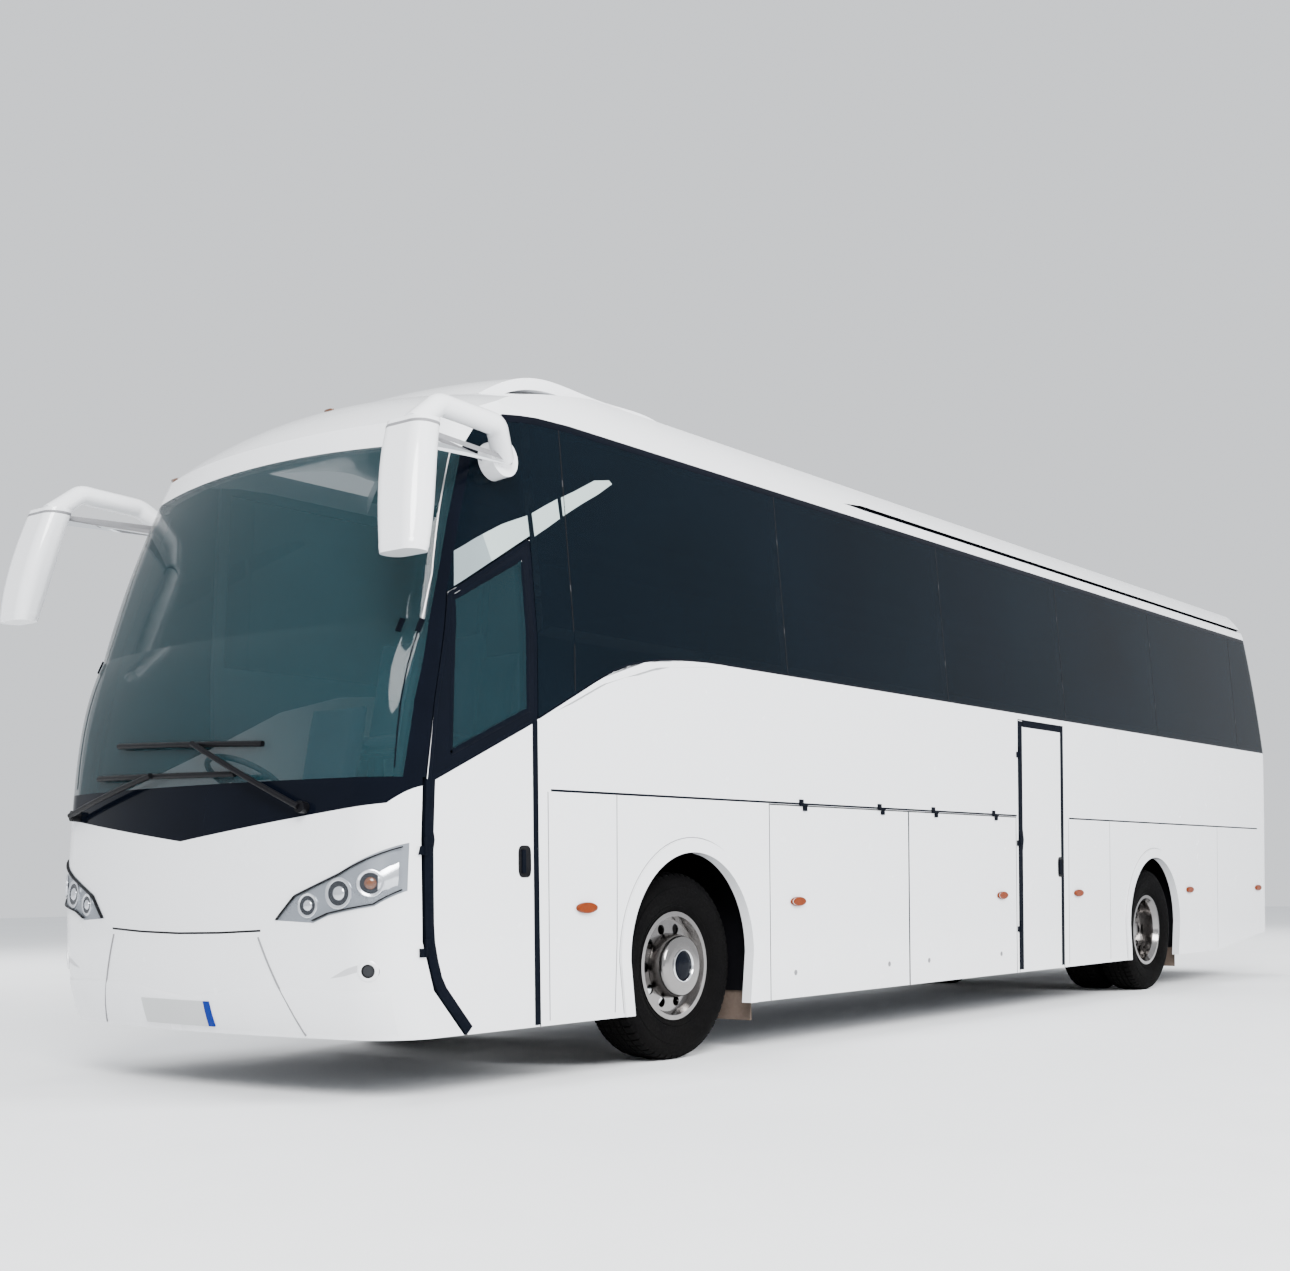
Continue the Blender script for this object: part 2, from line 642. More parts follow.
# ---------------------------------------------------------------- coachwork trim
@dataclass
class DoorSeals(Maker):
    """The rubber bands around the entrance door and the fine lines around the middle door."""

    band: float = 0.056
    rear_line: float = 0.038
    front_band: Line = (
        (1.76, 0.3), (1.853, 0.404), (1.929, 0.49), (1.96, 0.545), (1.985, 0.625), (2.004, 0.71),
        (2.01, 0.8), (2.01, 0.95), (2.009, 1.18), (2.001, 1.33), (1.994, 1.452),
    )
    rear_edge: Line = ((1.283, 0.29), (1.283, 1.764))
    mid_low: float = 0.3
    mid_head: float = 0.004
    mid_ends: float = 0.002
    mid_front: Point2 = (0.036, 0.038)
    mid_rear: Point2 = (0.023, 0.025)
    mid_top: Point2 = (0.022, 0.024)
    mid_proud: Point2 = (0.0012, 0.0014)
    band_proud: float = 0.004
    band_root: float = 0.018
    line_root: float = 0.016
    frame: Point2 = (0.0025, 0.02)
    frame_halves: Point2 = (0.011, 0.013)
    draw: Point2 = (0.022, 0.01)
    facing_back: float = -0.0025
    facing: tuple[tuple[Point2, Point2], ...] = (
        ((2.01, 1.44), (1.866, 1.578)), ((1.956, 1.81), (1.854, 1.81)), ((1.876, 2.168), (1.838, 2.14)),
        ((1.873, 2.183), (1.836, 2.16)), ((1.844, 2.314), (1.824, 2.296)), ((1.2655, 2.646), (1.329, 2.553)),
        ((1.2655, 2.183), (1.329, 2.183)), ((1.2655, 1.77), (1.329, 1.814)),
    )
    facing_steps: int = 8

    def build(self) -> None:
        """Lay the seals on the doors."""
        door = Skin("door_front", "door_front_glass").flank(1)
        hung, facing, framed = Shape(), Shape(), Shape()
        lay_line(hung, door, self.front_band, self.band / 2, self.band_proud, self.band_root)
        lay_line(hung, door, self.rear_edge, self.rear_line / 2, self.band_proud, self.line_root)
        outer, inner = self._edge(0), self._edge(1)
        shares = (0.0, 0.25, 0.5, 0.75, 1.0)
        rows = [[door(*blend(a, b, share)) for a, b in zip(outer, inner)] for share in shares]
        back = [raised(row, self.facing_back) for row in reversed(rows)]
        facing.grid([*(raised(row, FLAT) for row in rows), *back], looped=True)
        mid_x, mid_z = (sum(values) / len(values) for values in zip(*outer))
        draw_x, draw_z = self.draw
        drawn = [(x + (mid_x - x) * draw_x, z + (mid_z - z) * draw_z) for x, z in outer]
        for loop, half in zip((drawn, inner), self.frame_halves):
            lay_strip(hung, [door(*point) for point in (*loop, loop[0])], half, *self.frame)
        skin = Skin("door_mid")
        low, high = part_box("door_mid")
        foot, head, top = self.mid_low, high.z - self.mid_head, high.z - self.mid_top[0]
        front, rear = high.x - self.mid_front[0], low.x + self.mid_rear[0]
        upright, level = self.mid_proud
        for line, half, proud in (
            (((front, foot), (front, head)), self.mid_front[1], upright),
            (((rear, foot), (rear, head)), self.mid_rear[1], upright),
            (((low.x + self.mid_ends, top), (high.x - self.mid_ends, top)), self.mid_top[1], level),
        ):
            lay_line(framed, skin.side, line, half, proud, self.line_root, 0.08)
        self.make("door_front_facing", facing, BLACK_GLOSS, "front_door")
        self.make("door_front_seal", hung, SEAL, "front_door")
        self.make("door_mid_seal", framed, SEAL, "mid_door")

    def _edge(self, which: int) -> list[Point2]:
        """The facing's edge, evenly stepped.

        Args:
            which: outer (0) or inner (1).

        Returns:
            The edge's points.
        """
        ends = zip(self.facing, (*self.facing[1:], self.facing[0]))
        shares = [step / self.facing_steps for step in range(self.facing_steps)]
        return [blend(a[which], b[which], share) for a, b in ends for share in shares]


@dataclass
class PanelLines(Maker):
    """Belt line, upright panel seams, and pane seams with their small clips."""

    belt_z: float = 1.424
    belt_lift: float = 0.008
    belt_width: float = 0.012
    belt_runs: tuple[Line, Line] = (((1.17, -4.02), (-4.94, -9.64)), ((1.95, -9.64),))
    seam_width: float = 0.007
    arch_seam: Line = ((0.655, 1.425), (0.659, 0.96), (0.664, 0.687), (0.686, 0.31))
    seams: tuple[tuple[float, ...], ...] = ((1.192, -4.93, -5.738, -8.265), (1.192, -8.265))
    seam_low: float = 0.305
    pane_width: float = 0.008
    panes: tuple[float, ...] = (0.979, -0.967, -2.977, -4.903, -6.812, -8.869)
    pane_low: float = 2.2
    sweep_low: float = 1.935
    pane_high: float = 3.27
    clip_rows: tuple[float, ...] = (2.45, 2.98)
    clip_half: Point2 = (0.004, 0.016)
    clip_proud: float = 0.0016

    def build(self) -> None:
        """Lay the lines on both sides."""
        wide, tall = self.clip_half
        for (way, label), runs, uprights in zip(SIDES, self.belt_runs, self.seams):
            wall = Skin(f"side_wall_{label}").flank(way)
            glass = Skin(f"side_glass_{label}").flank(way)
            belt, seams, panes, clips = Shape(), Shape(), Shape(), Shape()
            for start, end in runs:
                z = self.belt_z + self.belt_lift
                lay_line(belt, wall, ((start, z), (end, z)), self.belt_width / 2, step=0.25)
            for run in (self.arch_seam, *(((x, self.belt_z), (x, self.seam_low)) for x in uprights)):
                lay_line(seams, wall, run, self.seam_width / 2, FLAT, step=0.12)
            for x in self.panes:
                line = ((x, self.sweep_low if x > 0 else self.pane_low), (x, self.pane_high))
                lay_line(panes, glass, line, self.pane_width / 2, FLAT, step=0.12)
                for z in self.clip_rows:
                    lay_line(clips, glass, ((x, z - tall), (x, z + tall)), wide, self.clip_proud)
            self.make(f"belt_line_{label}", belt, SEAL)
            self.make(f"wall_seams_{label}", seams, SEAM)
            self.make(f"pane_seams_{label}", panes, BLACK_SATIN)
            self.make(f"pane_clips_{label}", clips, FRAME_PAINT)


@dataclass
class Flowing(Maker):
    """The flowing edge between paint and side glass, and the lines round the wheel arches."""

    foot: Line = ((1.255, 1.765), (0.765, 1.985), (0.3, 2.115), (-0.15, 2.16), (-0.33, 2.17))
    crest: Line = (
        (1.256, 1.774), (1.11, 1.846), (0.96, 1.92), (0.82, 1.99), (0.69, 2.05), (0.56, 2.096),
        (0.43, 2.128), (0.3, 2.15), (0.16, 2.165), (0.0, 2.176), (-0.16, 2.182), (-0.33, 2.184),
    )
    crest_end: Point2 = (-9.6, 2.186)
    border: float = 0.01
    arch_r: float = 0.646
    arch_leg: float = 0.613
    arch_z: float = 0.571
    arch_foot: float = 0.3
    arch_steps: int = 40
    line: float = 0.005

    def build(self) -> None:
        """Lay the edge on the left side and the arch lines on both."""
        for way, label in SIDES:
            skin = Skin(f"side_wall_{label}", f"side_glass_{label}")
            if way > 0:
                paint, border = Shape(), Shape()
                lay_patch(paint, between(skin.flank(way), self.foot, self.crest), 36, 3, 0.0007)
                half = self.border / 2
                crest = [(x, z + half) for x, z in (*self.crest, self.crest_end)]
                lay_line(border, skin.flank(way), crest, half, 0.0012, step=0.15)
                self.make(f"paint_sweep_{label}", paint, WHITE)
                self.make(f"glass_border_{label}", border, BLACK_GLOSS)
            lines = Shape()
            for axle in (FRONT_AXLE_X, REAR_AXLE_X):
                angles = (math.pi * step / self.arch_steps for step in range(self.arch_steps + 1))
                turns = ((self.arch_r * math.cos(a), self.arch_r * math.sin(a)) for a in angles)
                arc = [(axle + x, self.arch_z + z) for x, z in turns]
                run = [(axle + self.arch_leg, self.arch_foot), *arc, (axle - self.arch_leg, self.arch_foot)]
                lay_line(lines, partial(skin.side, way=way), run, self.line / 2, FLAT)
            self.make(f"arch_lines_{label}", lines, SEAM)


@dataclass
class GlassTrim(Maker):
    """The dark edge above the side glass and the pale stripe near its front."""

    edge_width: float = 0.036
    edge: Line = (
        (1.56, 3.155), (1.475, 3.195), (1.39, 3.228), (1.265, 3.248), (1.14, 3.262), (0.9, 3.272),
        (-9.7, 3.272),
    )
    stripe: tuple[tuple[Line, Line], ...] = (
        (((1.812, 2.352), (1.66, 2.44), (1.548, 2.505)), ((1.788, 2.52), (1.66, 2.594), (1.598, 2.626))),
        (((1.548, 2.505), (1.45, 2.562), (1.262, 2.671)), ((1.598, 2.626), (1.45, 2.7), (1.268, 2.77))),
        (((1.224, 2.674), (1.12, 2.735), (1.022, 2.795)), ((1.232, 2.787), (1.13, 2.842), (1.03, 2.893))),
        (((0.995, 2.812), (0.86, 2.89), (0.7, 2.975), (0.578, 3.05)),
         ((1.0, 2.905), (0.88, 2.962), (0.724, 3.042), (0.6, 3.066))),
    )

    def build(self) -> None:
        """Lay the edge line and the stripe on both sides."""
        for way, label in SIDES:
            top = Skin(f"side_glass_{label}", "roof_shell", f"roof_cove_{label}", "front_posts")
            edge = Shape()
            line = [(ahead(x), z) for x, z in self.edge]
            lay_line(edge, partial(top.side, way=way), line, self.edge_width / 2, step=0.2)
            self.make(f"glass_edge_{label}", edge, BLACK_GLOSS)
            glass = Skin("front_posts", f"side_glass_{label}").flank(way)
            for index, (low, high) in enumerate(self.stripe):
                patch = Shape()
                lay_patch(patch, between(glass, low, high), 14, 4, FLAT)
                tone = PALE_STRIPE if index else DIM_STRIPE
                self.make(f"pale_stripe_{label}_{index + 1}", patch, tone)


@dataclass
class NoseTrim(Maker):
    """Silver posts beside the windscreen, the bumper's seams, slot and apron, and the blank plate."""

    post_width: float = 0.007
    post: Line = ((1.128, 3.02), (1.17, 2.67), (1.205, 2.4), (1.216, 2.17))
    post_low: Line = ((1.216, 2.15), (1.214, 1.81), (1.216, 1.5))
    post_proud: float = 0.002
    stops: tuple[Line, ...] = (((1.215, 2.185), (1.215, 2.125)), ((1.15, 2.185), (1.15, 2.125)))
    stop_half: float = 0.013
    stop_proud: float = 0.007
    slot: Line = ((-0.57, 0.772), (-0.3, 0.76), (0.0, 0.755), (0.3, 0.76), (0.57, 0.772))
    slot_width: float = 0.01
    slot_proud: float = 0.001
    seam: Line = ((0.556, 0.742), (0.6, 0.645), (0.654, 0.53), (0.7, 0.44), (0.765, 0.292))
    seam_width: float = 0.007
    seam_proud: float = 0.0052
    plate: tuple[float, float, float] = (-0.345, 0.148, 0.19)
    plate_z: Point2 = (0.315, 0.435)
    apron: Line = (
        (1.215, 0.505), (1.0, 0.507), (0.78, 0.512), (0.56, 0.512), (0.36, 0.5), (0.22, 0.478), (0.0, 0.455),
    )
    apron_low: float = 0.3
    apron_proud: float = 0.0045
    apron_form: Line = (
        (0.0, 0.0002), (0.03, 0.6), (0.1, 1.0), (0.3, 0.9), (0.6, 0.7), (0.94, 0.3), (1.0, 0.0002),
    )

    def build(self) -> None:
        """Lay the nose's trim."""
        screen, mask = Skin("windscreen", "front_posts"), Skin("bumper_centre", "front_mask")
        silver, rubber, slot, seams, plate, band, apron = (Shape() for _ in range(7))
        for way, _ in SIDES:
            half = screen.half_nose(way)
            lay_line(silver, half, self.post, self.post_width / 2, self.post_proud)
            lay_line(rubber, half, self.post_low, self.post_width / 2, self.post_proud)
            for stop in self.stops:
                lay_line(rubber, half, stop, self.stop_half, self.stop_proud, step=0.01)
            lay_line(seams, mask.half_nose(way), self.seam, self.seam_width / 2, self.seam_proud)
        lay_line(slot, mask.nose, self.slot, self.slot_width / 2, self.slot_proud, step=0.04)
        left, split, right = self.plate
        low, high = self.plate_z
        parts = ((plate, split, left, 10, 0.009), (band, right, split, 2, 0.0092))
        for shape, start, end, columns, proud in parts:
            face = between(mask.nose, ((start, low), (end, low)), ((start, high), (end, high)))
            lay_patch(shape, face, columns, 3, proud)
        run = spread((*self.apron, *((-y, z) for y, z in reversed(self.apron[:-1]))), 0.04)
        front, back = [], []
        for share, lift in self.apron_form:
            hits = [mask.nose(y, top + (self.apron_low - top) * share) for y, top in run]
            front.append(raised(hits, self.apron_proud * lift))
            back.append(raised(hits, -ROOT))
        apron.slab(front, back)
        self.make("bumper_apron", apron, WHITE)
        self.make("windscreen_posts", silver, NUT_STEEL)
        self.make("windscreen_rubbers", rubber, SEAL)
        self.make("bumper_seams", seams, SEAM)
        self.make("bumper_slot", slot, BLACK_SATIN)
        self.make("number_plate_blank", plate, PLATE_WHITE)
        self.make("number_plate_band", band, PLATE_BLUE)


# ---------------------------------------------------------------- lamps
@dataclass
class LampDetail(Maker):
    """Bowls, rings and lenses of the head, fog, marker and roof lamps."""

    bowls: tuple[tuple[float, float, float], ...] = (
        (0.849, 0.888, 0.046), (1.017, 0.942, 0.058), (1.16, 0.985, 0.05),
    )
    cover: Line = (
        (0.672, 0.824), (0.775, 0.929), (1.014, 1.024), (1.246, 1.146), (1.248, 0.955), (1.172, 0.893),
        (0.965, 0.853), (0.88, 0.82),
    )
    cover_step: float = 0.03
    cover_lift: float = 0.0125
    ring_form: Line = ((-0.004, 1.26), (0.005, 1.24), (0.0065, 1.16), (0.004, 0.96), (-0.004, 0.94))
    ball_form: Line = ((-0.004, 0.0), (-0.004, 0.95), (0.0025, 0.95), (0.001, 0.6), (0.001, 0.0))
    dome_angles: tuple[float, ...] = (0.0, 0.25, 0.5, 0.75, 1.0, 1.25, 1.45, math.pi / 2)
    dome_high: float = 0.0105
    dome_share: float = 0.56
    dome_foot: Line = ((-0.002, 1.0), (-0.002, 0.0))
    round_steps: int = 40
    edge: Point2 = (0.0032, 0.0135)
    tube: tuple[Line, Line] = (
        ((1.186, 0.94), (1.202, 0.946), (1.22, 0.954), (1.24, 0.968)),
        ((1.186, 1.038), (1.202, 1.052), (1.22, 1.068), (1.24, 1.084)),
    )
    tube_shares: tuple[float, ...] = (0.0, 0.12, 0.25, 0.4, 0.5, 0.6, 0.75, 0.88, 1.0)
    tube_swell: float = 0.0095
    tube_sunk: float = 0.0015
    tube_thick: float = 0.004
    fog: Point2 = (1.15, 0.595)
    fog_r: float = 0.04
    fog_eye: float = 0.027
    collar_outside: Line = ((-0.004, 1.22), (0.001, 1.22), (0.0045, 1.1))
    collar_inside: Line = ((0.0055, 1.22), (0.0045, 1.14), (-0.004, 1.14))
    bezel_form: Line = ((-0.004, 1.16), (0.0052, 1.15), (0.0062, 1.04), (0.003, 0.94), (-0.004, 0.93))
    scoop: tuple[Line, Line] = (
        ((1.104, 0.59), (1.04, 0.572), (0.962, 0.56)), ((1.108, 0.622), (1.05, 0.604), (0.966, 0.563)),
    )
    scoop_proud: float = 0.0006
    markers: tuple[float, ...] = (0.913, -1.045, -3.762, -5.097, -7.526, -9.4)
    marker_flaps: tuple[float, ...] = (-1.045, -3.762, -5.097)
    marker_size: Point2 = (0.0765, 0.0275)
    marker_z: float = 0.851
    marker_proud: float = 0.0006
    marker_form: Line = ((1.0, -0.0175), (1.0, -0.004), (0.97, -0.0012), (0.9, 0.0), (0.6, 0.0), (0.25, 0.0))
    cap_lamps: Line = ((1.02, 3.215), (0.0, 3.46), (-1.02, 3.215))
    cap_size: Point2 = (0.036, 0.015)
    cap_form: Line = ((1.0, -0.012), (1.0, 0.003), (0.92, 0.009), (0.7, 0.012), (0.3, 0.013))

    def build(self) -> None:
        """Build every lamp's detail."""
        self._headlamps()
        self._fog_lamps()
        self._markers()
        self._roof_lamps()

    def _headlamps(self) -> None:
        """Round glass balls in bright rings under one clear cover a side."""
        tray = Skin("headlamps")
        edges, tubes, eyes, rings, balls, amber, covers = (Shape() for _ in range(7))
        arc = [(CORE + self.dome_high * math.cos(a), math.sin(a)) for a in self.dome_angles]
        for way, _ in SIDES:
            for y, z, r in self.bowls:
                hit = tray.nose(y * way, z)
                rings.turned(scaled(self.ring_form, r), hit, self.round_steps)
                balls.turned(scaled(self.ball_form, r), hit, self.round_steps)
                bowl = amber if (y, z, r) == self.bowls[-1] else eyes
                bowl.turned(scaled((*arc, *self.dome_foot), r * self.dome_share), hit)
            self._cover(covers, tray.half_nose(way))
            for run in (self.cover[:4], self.cover[4:]):
                lay_line(edges, tray.half_nose(way), run, *self.edge, step=self.cover_step)
            rows = []
            for share in self.tube_shares:
                hits = [tray.half_nose(way)(*blend(low, high, share)) for low, high in zip(*self.tube)]
                rows.append(raised(hits, self.tube_swell * math.sin(math.pi * share) - self.tube_sunk))
            back = [[spot - tray.nose(spot.y, spot.z)[1] * self.tube_thick for spot in row] for row in rows]
            tubes.slab(rows, back)
        for name, shape, finish, slot in (
            ("edges", edges, BLACK_SATIN, "lamp_clear"),
            ("tubes", tubes, LAMP_DISH, "lamp_clear"),
            ("eyes", eyes, LAMP_DISH, "lamp_clear"),
            ("rings", rings, LAMP_DISH, "lamp_clear"),
            ("balls", balls, LAMP_BALL, "lamp_clear"),
            ("side_balls", amber, AMBER_GLASS, "lamp_amber"),
            ("covers", covers, LAMP_COVER, "lamp_clear"),
        ):
            self.make(f"headlamp_{name}", shape, finish, slot=slot)

    def _cover(self, covers: Shape, tray: Place) -> None:
        """Append one lamp's clear cover.

        Args:
            covers: the shape that takes it.
            tray: the finder of places on the lamp's tray.
        """
        loop = spread((*self.cover, self.cover[0]), self.cover_step)[:-1]
        middle = tuple(sum(values) / len(values) for values in zip(*self.cover))
        rows = [raised((tray(*point) for point in loop), -0.004)]
        for share in (1.0, 0.97, 0.8, 0.55, 0.3, 0.1):
            lift = CORE if share == 1.0 else self.cover_lift
            rows.append(raised((tray(*blend(middle, point, share)) for point in loop), lift))
        covers.grid(rows, capped=True)

    def _fog_lamps(self) -> None:
        """Dark bezels in white collars at the fog lamps, and the crease beside each."""
        mask = Skin("front_mask", "fog_lamps", "bumper_centre")
        bezels, creases, collars = Shape(), Shape(), Shape()
        outside = scaled(self.collar_outside, self.fog_r)
        inside = scaled(self.collar_inside, self.fog_eye)
        for way, _ in SIDES:
            half = mask.half_nose(way)
            collars.turned([*outside, *inside], half(*self.fog), 48)
            bezels.turned(scaled(self.bezel_form, self.fog_eye), half(*self.fog), self.round_steps)
            lay_patch(creases, between(half, *self.scoop), 12, 3, self.scoop_proud)
        self.make("fog_lamp_collars", collars, WHITE)
        self.make("fog_lamp_bezels", bezels, BLACK_SATIN)
        self.make("fog_lamp_scoops", creases, SHADED_WHITE)

    def _markers(self) -> None:
        """Amber lenses over the side marker pads; those on the flaps ride the flaps."""
        wide, tall = self.marker_size
        for way, label in SIDES:
            for place in self.markers:
                body, node = BODY, "marker_lamps"
                index = self.marker_flaps.index(place) + 1 if place in self.marker_flaps else 0
                if (way, label, index) in FLAPS:
                    body, node = f"luggage_{label}_{index}", f"luggage_flap_{label}_{index}"
                low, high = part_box(node)
                face_y = max(abs(low.y), abs(high.y)) + self.marker_proud
                lens = Shape()
                hit = Vector((ahead(place), way * face_y, self.marker_z)), CROSSWAYS * way
                lens.button(self.marker_form, hit, LENGTHWAYS * wide, UPWARDS * tall, 40)
                name = f"marker_lens_{label}_{abs(int(place * 1000))}"
                self.make(name, lens, AMBER, body, "lamp_amber")

    def _roof_lamps(self) -> None:
        """Three small dark lamps over the windscreen."""
        cap = Skin("roof_shell", "roof_fairing", "windscreen", "front_posts")
        lamps = Shape()
        wide, tall = self.cap_size
        for y, z in self.cap_lamps:
            hit = cap.nose(y, z)
            up = hit[1].cross(CROSSWAYS).normalized()
            lamps.button(self.cap_form, hit, CROSSWAYS * wide, up * tall, 28)
        self.make("roof_lamps", lamps, SMOKED_LENS, slot="lamp_amber")


# ---------------------------------------------------------------- doors, mirrors, tail
@dataclass
class Handles(Maker):
    """Recessed grips of the doors, and the latches of the luggage flaps."""

    grips: tuple[tuple[str, str, str, Point2, Point2], ...] = (
        ("front", "door_front", "front_door", (1.322, 1.412), (1.005, 1.16)),
        ("middle", "door_mid", "mid_door", (-4.812, -4.728), (0.978, 1.132)),
    )
    grip_form: Line = (
        (1.0, -0.004), (1.0, 0.003), (0.93, 0.005), (0.86, 0.003), (0.8, 0.0008), (0.3, 0.0006),
    )
    grip_steps: int = 44
    grip_square: Point2 = (0.55, 0.45)
    bar_aside: float = 0.15
    bar_inset: float = 0.022
    bar_half: float = 0.013
    bar_form: Point2 = (0.007, 0.001)
    latch_shares: Point2 = (0.16, 0.84)
    latch_z: float = 0.43
    latch: Line = (
        (-0.003, CORE), (-0.003, 0.017), (0.0015, 0.0165), (0.0026, 0.0145), (0.0012, 0.012), (0.0012, CORE),
    )

    def build(self) -> None:
        """Lay a grip and a pull bar on each door, and two round latches near the foot of each flap."""
        for label, node, body, xs, zs in self.grips:
            skin = Skin(node)
            x, half_x = (ahead(xs[0]) + ahead(xs[1])) / 2, (ahead(xs[1]) - ahead(xs[0])) / 2
            z, half_z = (zs[0] + zs[1]) / 2, (zs[1] - zs[0]) / 2
            dish, bar = Shape(), Shape()
            rows = []
            for share, off in self.grip_form:
                hits = []
                for step in range(self.grip_steps):
                    turn = math.tau * step / self.grip_steps
                    across, up = (math.copysign(abs(wave) ** power, wave) for wave, power in zip(
                        (math.cos(turn), math.sin(turn)), self.grip_square))
                    hits.append(skin.side(x + half_x * share * across, z + half_z * share * up))
                rows.append(raised(hits, off))
            dish.grid(rows, capped=True)
            bar_x = x + half_x * self.bar_aside
            line = ((bar_x, zs[0] + self.bar_inset), (bar_x, zs[1] - self.bar_inset))
            lay_line(bar, skin.side, line, self.bar_half, *self.bar_form, step=0.02)
            self.make(f"{label}_door_grip", dish, BLACK_SATIN, body)
            self.make(f"{label}_door_pull", bar, SEAL, body)
        for (way, label, index), node in zip(FLAPS, FLAP_NODES):
            low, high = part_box(node)
            skin = Skin(node)
            latches = Shape()
            for share in self.latch_shares:
                latches.turned(self.latch, skin.side(low.x + (high.x - low.x) * share, self.latch_z, way), 28)
            self.make(f"flap_latches_{label}_{index}", latches, SEAM, f"luggage_{label}_{index}")


@dataclass
class MirrorDetail(Maker):
    """Mirror glass, foot and seam rings of the two hanging mirrors."""

    glass_z: Point2 = (2.475, 2.96)
    glass_half: Point2 = (0.078, 0.016)
    head_low: float = 2.4
    head_tall: float = 0.61
    head_y: Point2 = (1.472, 0.082)
    head_x: Point2 = (2.34, 0.15)
    rings: tuple[tuple[str, Finish, tuple[float, ...]], ...] = (
        ("foot", WHITE, (2.404, 2.42, 2.44, 2.455)), ("seam", SEAM, (2.972, 2.98, 2.988, 2.996)),
    )
    ring_form: tuple[float, ...] = (-0.002, 0.0016, 0.0016, -0.002, -0.005, -0.005)
    ring_steps: int = 120

    def build(self) -> None:
        """Build the detail of both mirrors."""
        for way, label in SIDES:
            skin = Skin(f"mirror_{label}")
            glass = Shape()

            def on_glass(c: float, r: float, way: int = way, skin: Skin = skin) -> Hit:
                """A place on the mirror glass at two shares."""
                z = self.glass_z[0] + (self.glass_z[1] - self.glass_z[0]) * r
                half = self.glass_half[0] + self.glass_half[1] * math.sin(math.pi * r)
                return skin.tail(self._middle_y(z) * way + half * (2 * c - 1), z)

            lay_patch(glass, on_glass, 10, 16, 0.0012, 0.004)
            self.make(f"mirror_glass_{label}", glass, MIRROR_GLASS)
            for name, finish, heights in self.rings:
                ring = Shape()
                levels = zip((*heights, heights[-1], heights[0]), self.ring_form)
                ring.grid([self._outline(skin, way, z, off) for z, off in levels], looped=True)
                self.make(f"mirror_{name}_{label}", ring, finish)

    def _middle_y(self, z: float) -> float:
        """How far off the coach's middle the mirror head's middle lies at a height."""
        return self.head_y[0] - self.head_y[1] * (z - self.head_low) / self.head_tall

    def _outline(self, skin: Skin, way: int, z: float, off: float) -> list[Vector]:
        """A level ring round a mirror head.

        Args:
            skin: the mirror's surface.
            way: left (1) or right (-1).
            z: the ring's height.
            off: how far it stands off the surface.

        Returns:
            The ring's points.
        """
        x = ahead(self.head_x[0] - self.head_x[1] * (z - self.head_low) / self.head_tall)
        centre = Vector((x, way * self._middle_y(z), z))
        points = []
        for step in range(self.ring_steps):
            angle = math.tau * step / self.ring_steps
            out = Vector((math.cos(angle), math.sin(angle), 0))
            points.append(skin.tree.ray_cast(centre + out, -out)[0] + out * off)
        return points


@dataclass
class TailDetail(Maker):
    """Tail lamp rings, lid louvres, and the blank rear plate."""

    lamp_rows: tuple[float, ...] = (0.88, 1.16, 1.44)
    lamp_r: float = 0.078
    lamp_y: float = 1.035
    ring_form: Line = ((-0.004, 1.0), (0.002, 1.0), (0.0035, 0.95), (0.0008, 0.9), (-0.004, 0.9))
    lens_form: Line = ((-0.004, 0.0), (-0.004, 0.895), (0.001, 0.89), (0.002, 0.5), (0.0022, 0.0))
    louvre_rows: tuple[float, ...] = (0.98, 1.035, 1.09, 1.145, 1.2, 1.255)
    louvre_half: float = 0.52
    louvre_form: Line = (
        (0.02, 0.0005), (0.004, 0.006), (-0.012, 0.0075), (-0.014, -0.001), (-0.012, -0.003), (0.02, -0.003),
    )
    plate: tuple[Line, Line] = (((-0.26, 0.735), (0.26, 0.735)), ((-0.26, 0.855), (0.26, 0.855)))

    def build(self) -> None:
        """Build the tail's detail."""
        rear, lid = Skin("tail_lamps", "rear_wall"), Skin("engine_lid")
        rings, amber, louvres, plate = Shape(), Shape(), Shape(), Shape()
        for way, _ in SIDES:
            for z in self.lamp_rows:
                hit = rear.tail(self.lamp_y * way, z)
                rings.turned(scaled(self.ring_form, self.lamp_r), hit, 36)
                if z == self.lamp_rows[1]:
                    amber.turned(scaled(self.lens_form, self.lamp_r), hit, 36)
        for z in self.louvre_rows:
            rows = []
            for point in spread(((-self.louvre_half, z), (self.louvre_half, z)), 0.08):
                spot, normal = lid.tail(*point)
                rows.append([spot + UPWARDS * up + normal * out for up, out in self.louvre_form])
            louvres.grid(rows, capped=True)
        lay_patch(plate, between(lid.tail, *self.plate), 8, 3, 0.004)
        self.make("tail_lamp_rings", rings, BLACK_SATIN, slot="lamp_red")
        self.make("tail_lamp_turn", amber, AMBER, slot="lamp_amber")
        self.make("engine_lid_louvres", louvres, BLACK_SATIN, "engine_cover")
        self.make("rear_plate_blank", plate, PLATE_WHITE, "engine_cover")


